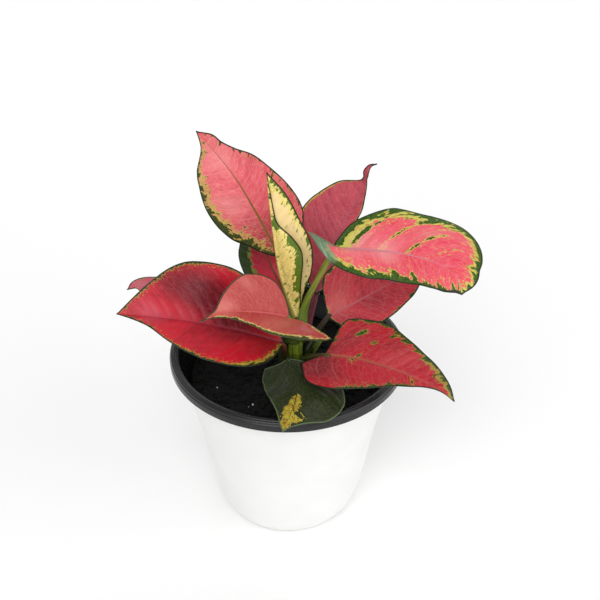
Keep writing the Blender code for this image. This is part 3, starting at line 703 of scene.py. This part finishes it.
def drained(pot):
    """Cuts the ring of drain holes through the floor."""
    shape = bmesh.new()
    for hole in range(DRAIN_HOLES):
        angle = 2 * math.pi * (hole + 0.5) / DRAIN_HOLES
        peg = bmesh.ops.create_cone(shape, cap_ends=True, segments=DRAIN_TURNS, depth=DRAIN_PEG_LENGTH * MM,
                                    radius1=DRAIN_HOLE_RADIUS * MM, radius2=DRAIN_HOLE_RADIUS * MM)
        place = Vector((math.cos(angle), math.sin(angle), 0.0)) * DRAIN_CIRCLE * MM
        bmesh.ops.translate(shape, verts=peg["verts"], vec=place)
    mesh = bpy.data.meshes.new(pot.name + "_drain_pegs")
    shape.to_mesh(mesh)
    shape.free()
    pegs = bpy.data.objects.new(mesh.name, mesh)
    bpy.context.scene.collection.objects.link(pegs)
    cut = pot.modifiers.new("drain_holes", "BOOLEAN")
    cut.object = pegs
    cut.solver = "EXACT"
    bpy.context.view_layer.update()
    seen = pot.evaluated_get(bpy.context.evaluated_depsgraph_get())
    pot.data = bpy.data.meshes.new_from_object(seen)
    pot.modifiers.clear()
    bpy.data.objects.remove(pegs)
    return pot


def make_pots():
    top = SHOULDER_HEIGHT - OUTER_DROP
    outside = body_line(0.0, top)
    inside = body_line(WALL, top)
    white = plastic_material("white_polypropylene_moulded", "ECECEA", "E9E9E7", 0.34, 0.9, "ECECEA")
    drained(turned("outer_pot_shell", outside + inside[::-1], POT_TURNS, white, "pot_outer"))

    step = SHOULDER_HEIGHT - STEP_DROP
    neck = RIM_RADIUS - LIP_WIDTH
    roll = (RIM_RADIUS - WALL / 2 - neck) / 2
    centre = (neck + roll, RIM_TOP - WALL / 2 - roll)
    arc = []
    for turn in np.linspace(math.pi, 0, ROLL_POINTS):
        ridge = roll * (1 - RIM_GROOVE * (1 - math.cos(RIM_WAVES * turn)))
        arc.append((centre[0] + ridge * math.cos(turn), centre[1] + ridge * math.sin(turn)))
    rim = [(neck - RIM_CHAMFER, LIP_BOTTOM + RIM_CHAMFER), *arc, (RIM_RADIUS - WALL / 2, LIP_BOTTOM)]
    outline = (body_line(WALL + GAP, step) + offset(rim, -WALL / 2) + offset(rim, WALL / 2)[::-1]
               + body_line(2 * WALL + GAP, step)[::-1])
    # The black pot's rim colour is a lighter grey than its body: a painted highlight along the rim top
    black = plastic_material("black_polypropylene_moulded", "0C0C0D", "121214", 0.26, 0.8, "1C1C1E")
    drained(turned("inner_pot_shell", outline, POT_TURNS, black, "pot_inner"))


# Potting mix and cane

def lump(centre, size, stretch, seed, rings=5, turns=7):
    """Points and faces of one rough grain, in millimetres."""
    points = [centre + np.array([0, 0, size * stretch[2]])]
    for ring in range(1, rings):
        polar = math.pi * ring / rings
        for turn in range(turns):
            angle = 2 * math.pi * turn / turns
            direction = np.array([math.sin(polar) * math.cos(angle), math.sin(polar) * math.sin(angle),
                                  math.cos(polar)])
            spot = Vector(direction * GRAIN_LUMPS) + Vector((seed, 0.0, seed))
            rough = 1.0 + GRAIN_ROUGHNESS * noise.noise(spot)
            points.append(centre + direction * stretch * size * rough)
    points.append(centre - np.array([0, 0, size * stretch[2]]))
    return points, round_faces(turns, len(points), flip=True)


def grains(name, count, sizes, finish, draw, lift):
    """A scatter of rough grains over the top of the mix, clear of the wall and the cane."""
    reach = body_line(2 * WALL + 2 * GAP, MIX_TOP)[-1][0] - sizes[1]
    points, faces = [], []
    made = 0
    while made < count:
        radius = reach * math.sqrt(draw.random())
        angle = 2 * math.pi * draw.random()
        size = sizes[0] + (sizes[1] - sizes[0]) * draw.random() ** 2
        stretch = np.array([least + more * draw.random() for least, more in GRAIN_STRETCHES])
        seed = 50 * draw.random()
        x, y = radius * math.cos(angle), radius * math.sin(angle)
        if math.hypot(x - CANE_X, y) < CANE_RADIUS + sizes[1]:
            continue
        centre = np.array([x, y, mix_height(x, y) + lift * size])
        corners, sides = lump(centre, size, stretch, seed)
        faces += [tuple(corner + len(points) for corner in side) for side in sides]
        points += corners
        made += 1
    return make_piece(name, points, faces, finish, "potting_mix", smooth=False)


def mix_height(x, y):
    swell = noise.noise(Vector((x / MIX_SWELL_SIZE, y / MIX_SWELL_SIZE, 0.3)))
    crumb = noise.noise(Vector((x / MIX_CRUMB_SIZE, y / MIX_CRUMB_SIZE, 7.7)))
    return MIX_TOP + MIX_CROWN + MIX_SWELL_HEIGHT * swell + MIX_CRUMB_HEIGHT * crumb


def make_mix(draw):
    peat = peat_material()
    wall = body_line(2 * WALL + 2 * GAP, MIX_TOP - 1)
    edge = wall[-1][0]
    rings = wall[1:] + [(edge * (1 - ring / (MIX_RINGS + 1)), None) for ring in range(1, MIX_RINGS + 1)]
    points = [(0.0, 0.0, wall[0][1])]
    for radius, height in rings:
        for turn in range(MIX_TURNS):
            angle = 2 * math.pi * turn / MIX_TURNS
            x, y = radius * math.cos(angle), radius * math.sin(angle)
            points.append((x, y, mix_height(x, y) if height is None else height))
    points.append((0.0, 0.0, mix_height(0.0, 0.0)))
    make_piece("potting_mix_bed", points, round_faces(MIX_TURNS, len(points)), peat, "potting_mix")
    grains("peat_crumbs", PEAT_CRUMBS, PEAT_CRUMB_SIZES, peat, draw, 0.1)
    grains("perlite_grains", PERLITE_GRAINS, PERLITE_SIZES, perlite_material(), draw, 0.5)


def cane_radius(height):
    share = min(max((height - MIX_TOP) / (CANE_TOP - MIX_TOP), 0.0), 1.0)
    return CANE_RADIUS + (CANE_TOP_RADIUS - CANE_RADIUS) * share


def make_cane():
    outline = [(0.0, CANE_BOTTOM), (CANE_RADIUS - CANE_FOOT_CUT[0], CANE_BOTTOM),
               (CANE_RADIUS, CANE_BOTTOM + CANE_FOOT_CUT[1])]
    pitch = (CANE_TOP - MIX_TOP) / CANE_JOINTS
    for height in np.linspace(MIX_TOP, CANE_TOP, 10 * CANE_JOINTS + 1):
        share = (height - MIX_TOP) / pitch % 1
        waist = CANE_WAIST * math.sin(math.pi * share) ** 0.5
        outline.append((cane_radius(height) - waist, height))
    outline.append((0.0, CANE_TOP))
    stem = turned("cane_stem", outline, CANE_TURNS, cane_material(), "cane")
    stem.data.transform(Matrix.Translation((CANE_X * MM, 0.0, 0.0)))


def make_sheaths():
    """Old leaf sheaths that clasp the cane and lean away from it towards their tips."""
    rows, columns = SHEATH_GRID
    points, faces, shares, rounds = [], [], [], []
    for bearing, foot, length, lean in SHEATHS:
        first = len(points)
        for skin in (0.0, SHEATH_THICKNESS):
            for share in np.linspace(0, 1, rows):
                height = foot + length * share
                away = cane_radius(height) + GAP + lean * share ** 1.4
                half_width = SHEATH_HALF_WIDTH * (1 - share ** 2.2) + SHEATH_TIP
                for across in np.linspace(-1, 1, columns):
                    angle = math.radians(bearing) + across * half_width / away
                    radius = away + skin * (1 - across ** 2)
                    points.append((CANE_X + radius * math.cos(angle), radius * math.sin(angle),
                                   height - SHEATH_DROOP * across ** 2 * share))
                    shares.append(share)
                    rounds.append(across)
        faces += sheet_faces(rows, columns, first, flip=True)
    finish = stalk_material("old_sheath", SHEATH_COLOURS)
    sheaths = make_piece("cane_sheaths", points, faces, finish, "cane")
    mark(sheaths, {"share": shares, "around": rounds})


# Leaves

def smooth_route(points, count):
    """count evenly spaced points on a smooth curve through the given ones."""
    route = np.array(points, float)
    route = np.vstack([2 * route[0] - route[1], route, 2 * route[-1] - route[-2]])
    fine = []
    for before, start, end, after in zip(route, route[1:], route[2:], route[3:]):
        for t in np.linspace(0, 1, 24, endpoint=False):
            fine.append(0.5 * (2 * start + (end - before) * t
                               + (2 * before - 5 * start + 4 * end - after) * t ** 2
                               + (3 * start - before - 3 * end + after) * t ** 3))
    fine = np.array(fine + [route[-2]])
    lengths = np.linalg.norm(np.diff(fine, axis=0), axis=1)
    travelled = np.concatenate([[0], np.cumsum(lengths)])
    wanted = np.linspace(0, travelled[-1], count)
    return np.stack([np.interp(wanted, travelled, fine[:, axis]) for axis in range(3)], 1)


def along(values, shares):
    """A smooth value at each share of the midrib from a few evenly spaced or station values."""
    values = np.array(values, float)
    places = np.array(STATIONS) if len(values) == len(STATIONS) else np.linspace(0, 1, len(values))
    slopes = np.gradient(values, places)
    left = np.clip(np.searchsorted(places, shares, side="right") - 1, 0, len(places) - 2)
    span = places[left + 1] - places[left]
    t = (shares - places[left]) / span
    return ((2 * t ** 3 - 3 * t ** 2 + 1) * values[left]
            + (t ** 3 - 2 * t ** 2 + t) * span * slopes[left]
            + (3 * t ** 2 - 2 * t ** 3) * values[left + 1]
            + (t ** 3 - t ** 2) * span * slopes[left + 1])


def half_blade(rib, forward, out, up, half, travelled):
    """Rows of points from the midrib to one margin, and what its skin needs to know there.

    A half that is wide at the stalk ends in a lobe, whose end is a margin too.
    """
    half = {**COMMON_HALF, **half}
    shares = np.linspace(0, 1, len(rib))
    across = np.linspace(0, 1, HALF_COLUMNS) ** COLUMN_SPREAD
    width = np.maximum(along(half["width"], shares), LEAST_WIDTH)
    fold = np.radians(along(half["fold"], shares))
    curl = np.radians(along(half["curl"], shares))
    curl = np.where(np.abs(curl) < 0.001, 0.001, curl)
    angle = fold[:, None] + curl[:, None] * across
    reach = (np.sin(angle) - np.sin(fold)[:, None]) / curl[:, None]
    rise = (np.cos(fold)[:, None] - np.cos(angle)) / curl[:, None]
    sweep = along(half["sweep"], shares)[:, None] * across ** half["early"]
    points = rib[:, None, :] + width[:, None, None] * (reach[..., None] * out[:, None, :]
                                                       + rise[..., None] * up[:, None, :])
    points = points + sweep[..., None] * forward[:, None, :]
    side = width[:, None] * across
    slope = np.gradient(width, travelled)[:, None]
    rim = width[:, None] * (1 - across) / np.sqrt(1 + slope ** 2)
    if half["width"][0] > LOBE_WIDTH:
        rim = np.minimum(rim, travelled[:, None])
    vein = travelled[:, None] - VEIN_LEAN * side - VEIN_BEND * side ** 2
    green = along(half["green"], shares)[:, None] - rim
    cream = along(half["cream"], shares)[:, None] - rim
    return {"points": points, "side_mm": side, "rim_mm": rim, "vein_mm": vein, "green_mm": green,
            "cream_mm": cream}


def from_spot(facts, share, across):
    """How far each point is from one place on the blade, over the side veins and along them."""
    row = int(round(share * (ROWS - 1)))
    column = HALF_COLUMNS - 1 + int(round(across * (HALF_COLUMNS - 1)))
    return [facts[key] - facts[key][row, column] for key in ("vein_mm", "side_mm")]


def blotched(facts, blotches):
    """Adds each separate green blotch, with its cream rim, to the reach of the coloured margins."""
    for share, across, length, width in blotches:
        over, away = from_spot(facts, share, across)
        apart = np.sqrt((over / width) ** 2 + (away / length) ** 2)
        reach = (1 - apart) * width * np.where(apart > 1, 3, 1)
        same_side = np.sign(facts["side_mm"]) == np.sign(across)
        reach = np.where(same_side, reach, -20)
        facts["green_mm"] = np.maximum(facts["green_mm"], reach - BLOTCH_RIM / 4)
        facts["cream_mm"] = np.maximum(facts["cream_mm"], reach + BLOTCH_RIM)


def tinted_shade_and_sheen(facts, shade_and_sheen_tints):
    """How much darker or paler the flesh is, from each soft spot's place, reach and strength: partly the
    flesh's own tone, partly painted shade and a painted sheen.
    """
    facts["dusky_and_shaded"] = np.zeros_like(facts["side_mm"])
    facts["faded_and_sheened"] = np.zeros_like(facts["side_mm"])
    for share, across, reach, strength in shade_and_sheen_tints:
        over, away = from_spot(facts, share, across)
        key = "dusky_and_shaded" if strength > 0 else "faded_and_sheened"
        facts[key] += abs(strength) * np.exp(-(over ** 2 + away ** 2) / reach ** 2)


def make_blade(name, leaf, finish, seed):
    rib = smooth_route(leaf["rib"], ROWS)
    shares = np.linspace(0, 1, ROWS)
    travelled = np.concatenate([[0], np.cumsum(np.linalg.norm(np.diff(rib, axis=0), axis=1))])
    forward = unit(np.gradient(rib, axis=0))
    face = np.array(leaf["face"], float)
    up = unit(face - (forward @ face)[:, None] * forward)
    right = np.cross(forward, up)
    left_half = half_blade(rib, forward, -right, up, leaf["left"], travelled)
    right_half = half_blade(rib, forward, right, up, leaf["right"], travelled)
    left_half["side_mm"] = -left_half["side_mm"]
    facts = {key: np.concatenate([left_half[key][:, ::-1], right_half[key][:, 1:]], axis=1)
             for key in left_half}
    blotched(facts, leaf["blotches"])
    tinted_shade_and_sheen(facts, leaf["shade_and_sheen_tints"])
    middle = facts.pop("points")
    normal = unit(np.cross(np.gradient(middle, axis=1), np.gradient(middle, axis=0)))

    side = np.abs(facts["side_mm"])
    inner = np.clip(side / QUILT_FROM_RIB, 0, 1) * np.clip(facts["rim_mm"] / QUILT_FROM_RIM, 0, 1)
    quilt = np.abs(np.sin(np.pi * facts["vein_mm"] / VEIN_PITCH)) ** 0.7
    swell = np.array([[noise.noise(Vector(point) / PUCKER_SIZE + Vector((seed, 0, 0)))
                       for point in row] for row in middle])
    pucker = leaf["puckered"] * swell * np.clip(side / PUCKER_FROM_RIB, 0, 1)
    groove = np.exp(-(side / GROOVE_HALF_WIDTH) ** 2) * np.clip(1.3 - shares, 0, 1)[:, None]
    lift = QUILT_HEIGHT * (quilt - QUILT_MIDDLE) * inner + pucker - GROOVE_DEPTH * groove
    upper = middle + normal * lift[..., None]
    rib_half = (RIB_HALF_WIDTH * (1 - shares) ** 0.8 + RIB_TIP_HALF_WIDTH)[:, None]
    keel = (KEEL_DEPTH * (1 - shares) ** 1.4 + KEEL_TIP_DEPTH)[:, None]
    taper = np.clip(facts["rim_mm"] / MARGIN_TAPER, MARGIN_THINNEST, 1)
    depth = BLADE_THICKNESS * taper + keel * np.exp(-(side / (rib_half * 1.3)) ** 2)
    lower = upper - normal * depth[..., None]
    facts["rib_mm"] = side - rib_half * 0.75 * np.clip(1.25 - 1.1 * shares, 0, 1)[:, None]

    low, high = (np.array(corner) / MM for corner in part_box(name))
    points = np.clip(np.concatenate([upper.reshape(-1, 3), lower.reshape(-1, 3)]), low, high)
    blade = make_piece(name.replace("leaf_", "") + "_blade", points, sheet_faces(*side.shape), finish,
                       name)
    length, width = leaf["turned_lobe"]
    turned_over = np.clip((length - shares) / 0.03, 0, 1)[:, None] * np.clip(width - facts["rim_mm"], 0, 1)
    facts["under"] = turned_over * (facts["side_mm"] > 0)
    sides = {key: [values, values] for key, values in facts.items()}
    if not leaf["thin"]:
        sides["under"][1] = np.ones_like(side)
    mark(blade, {key: np.concatenate(values).reshape(-1) for key, values in sides.items()})
    return rib, up


def make_stalk(name, leaf, rib, up, finish):
    """A stalk with a channel along its upper side, widened at its foot into a sheath."""
    bearing, height, passing = leaf["stalk"]
    if bearing is None:
        inwards = -up[0]
        start = np.array([CANE_X, 0.0, height])
        first = start + np.array([0.0, 0.0, NEWEST_RISE])
    else:
        turn = math.radians(bearing)
        outwards = np.array([math.cos(turn), math.sin(turn), 0.0])
        inwards = -outwards
        clear = cane_radius(height) + GAP + STALK_FOOT_RADIUS
        start = np.array([CANE_X, 0.0, height]) + outwards * clear
        first = start + outwards * STALK_FOOT_REACH + np.array([0.0, 0.0, STALK_FOOT_RISE])
    back = rib[:12:4] - STALK_DROP * up[:12:4]
    route = smooth_route([start, first, *passing, *back], STALK_ROWS)
    shares = np.linspace(0, 1, STALK_ROWS)
    forward = unit(np.gradient(route, axis=0))
    blend = np.clip((shares - 0.2) / 0.6, 0, 1)[:, None]
    towards = inwards * (1 - blend) + up[0] * blend
    upward = unit(towards - np.sum(towards * forward, axis=1, keepdims=True) * forward)
    aside = np.cross(forward, upward)
    radius = np.interp(shares, (0, 0.25, 0.75, 1), (STALK_FOOT_RADIUS, STALK_RADIUS, STALK_RADIUS,
                                                STALK_HEAD_RADIUS))
    sheath = np.clip(1 - shares / STALK_FOOT_SHARE, 0, 1) ** 0.8
    half_width = radius * (1 + STALK_FOOT_SPREAD * sheath)
    bend = STALK_FOOT_BEND / np.maximum(sheath, 0.05)
    around = np.linspace(-1, 1, STALK_CORNERS)
    outline = [(across, -1) for across in around] + [(across, 1) for across in around[::-1][1:-1]]
    points, rounds = [], []
    for step in range(STALK_ROWS):
        for across, face in outline:
            turn = across * half_width[step] / bend[step]
            full = math.sqrt(max(1 - across * across, 0.0))
            thick = STALK_THINNEST + (radius[step] - STALK_THINNEST) * full
            channel = CHANNEL_DEPTH * radius[step] * math.exp(-(across / CHANNEL_WIDTH) ** 2) * (face > 0)
            sideways = bend[step] * math.sin(turn)
            inward = bend[step] * (1 - math.cos(turn))
            reach = face * thick - channel
            points.append(route[step] + aside[step] * (sideways - reach * math.sin(turn))
                          + upward[step] * (inward + reach * math.cos(turn)))
            rounds.append(across * face)
    count = len(outline)
    faces = []
    for step in range(STALK_ROWS - 1):
        for corner in range(count):
            after = (corner + 1) % count
            base = step * count
            faces.append((base + corner, base + after, base + count + after, base + count + corner))
    faces.append(tuple(range(count))[::-1])
    faces.append(tuple(range((STALK_ROWS - 1) * count, STALK_ROWS * count)))
    stalk = make_piece(name.replace("leaf_", "") + "_stalk", points, faces, finish, name)
    mark(stalk, {"share": np.repeat(shares, count), "around": rounds})


# Stage

def make_stage():
    corners = [(x * FLOOR_HALF * MM, y * FLOOR_HALF * MM, 0)
               for x, y in ((-1, -1), (1, -1), (1, 1), (-1, 1))]
    paper = bpy.data.meshes.new("studio_floor")
    paper.from_pydata(corners, [], [(0, 1, 2, 3)])
    paper.materials.append(new_material("pale_paper_floor", Base_Color=linear("FBFBFB"), Roughness=0.9)[0])
    floor = bpy.data.objects.new("studio_floor", paper)
    bpy.context.scene.collection.objects.link(floor)

    air = bpy.data.worlds.new("studio_air")
    bpy.context.scene.world = air
    air.use_nodes = True
    air.node_tree.nodes["Background"].inputs["Color"].default_value = linear("FFFFFF")
    air.node_tree.nodes["Background"].inputs["Strength"].default_value = AIR_LIGHT

    for name, (strength, softness, place) in LAMPS.items():
        lamp = bpy.data.lights.new(name, "SUN")
        lamp.energy = strength
        lamp.angle = math.radians(softness)
        holder = bpy.data.objects.new(name, lamp)
        bpy.context.scene.collection.objects.link(holder)
        holder.location = place
        holder.rotation_euler = Vector(place).to_track_quat("Z", "Y").to_euler()


def make_camera():
    lens = bpy.data.cameras.new("studio_camera")
    lens.lens = CAMERA_LENS
    lens.sensor_width = SENSOR_WIDTH
    lens.dof.use_dof = False
    holder = bpy.data.objects.new("studio_camera", lens)
    bpy.context.scene.collection.objects.link(holder)
    tilt = math.radians(CAMERA_ELEVATION)
    away = Vector((0.0, -math.cos(tilt), math.sin(tilt))) * CAMERA_DISTANCE
    holder.location = (Vector(CAMERA_TARGET) + away) * MM
    holder.rotation_euler = (math.radians(90 - CAMERA_ELEVATION), 0.0, 0.0)
    bpy.context.scene.camera = holder


def main():
    draw = np.random.RandomState(SEED)
    bpy.context.scene.view_settings.view_transform = "Standard"
    make_camera()
    make_stage()
    make_pots()
    make_mix(draw)
    make_cane()
    make_sheaths()
    for number, (name, own) in enumerate(LEAVES.items()):
        leaf = {**COMMON_LEAF, **own}
        seed = PATTERN_STEP * number
        rib, up = make_blade(name, leaf, leaf_material(name, leaf, seed), seed)
        make_stalk(name, leaf, rib, up, stalk_material(name, leaf["stalk_hues"]))


main()
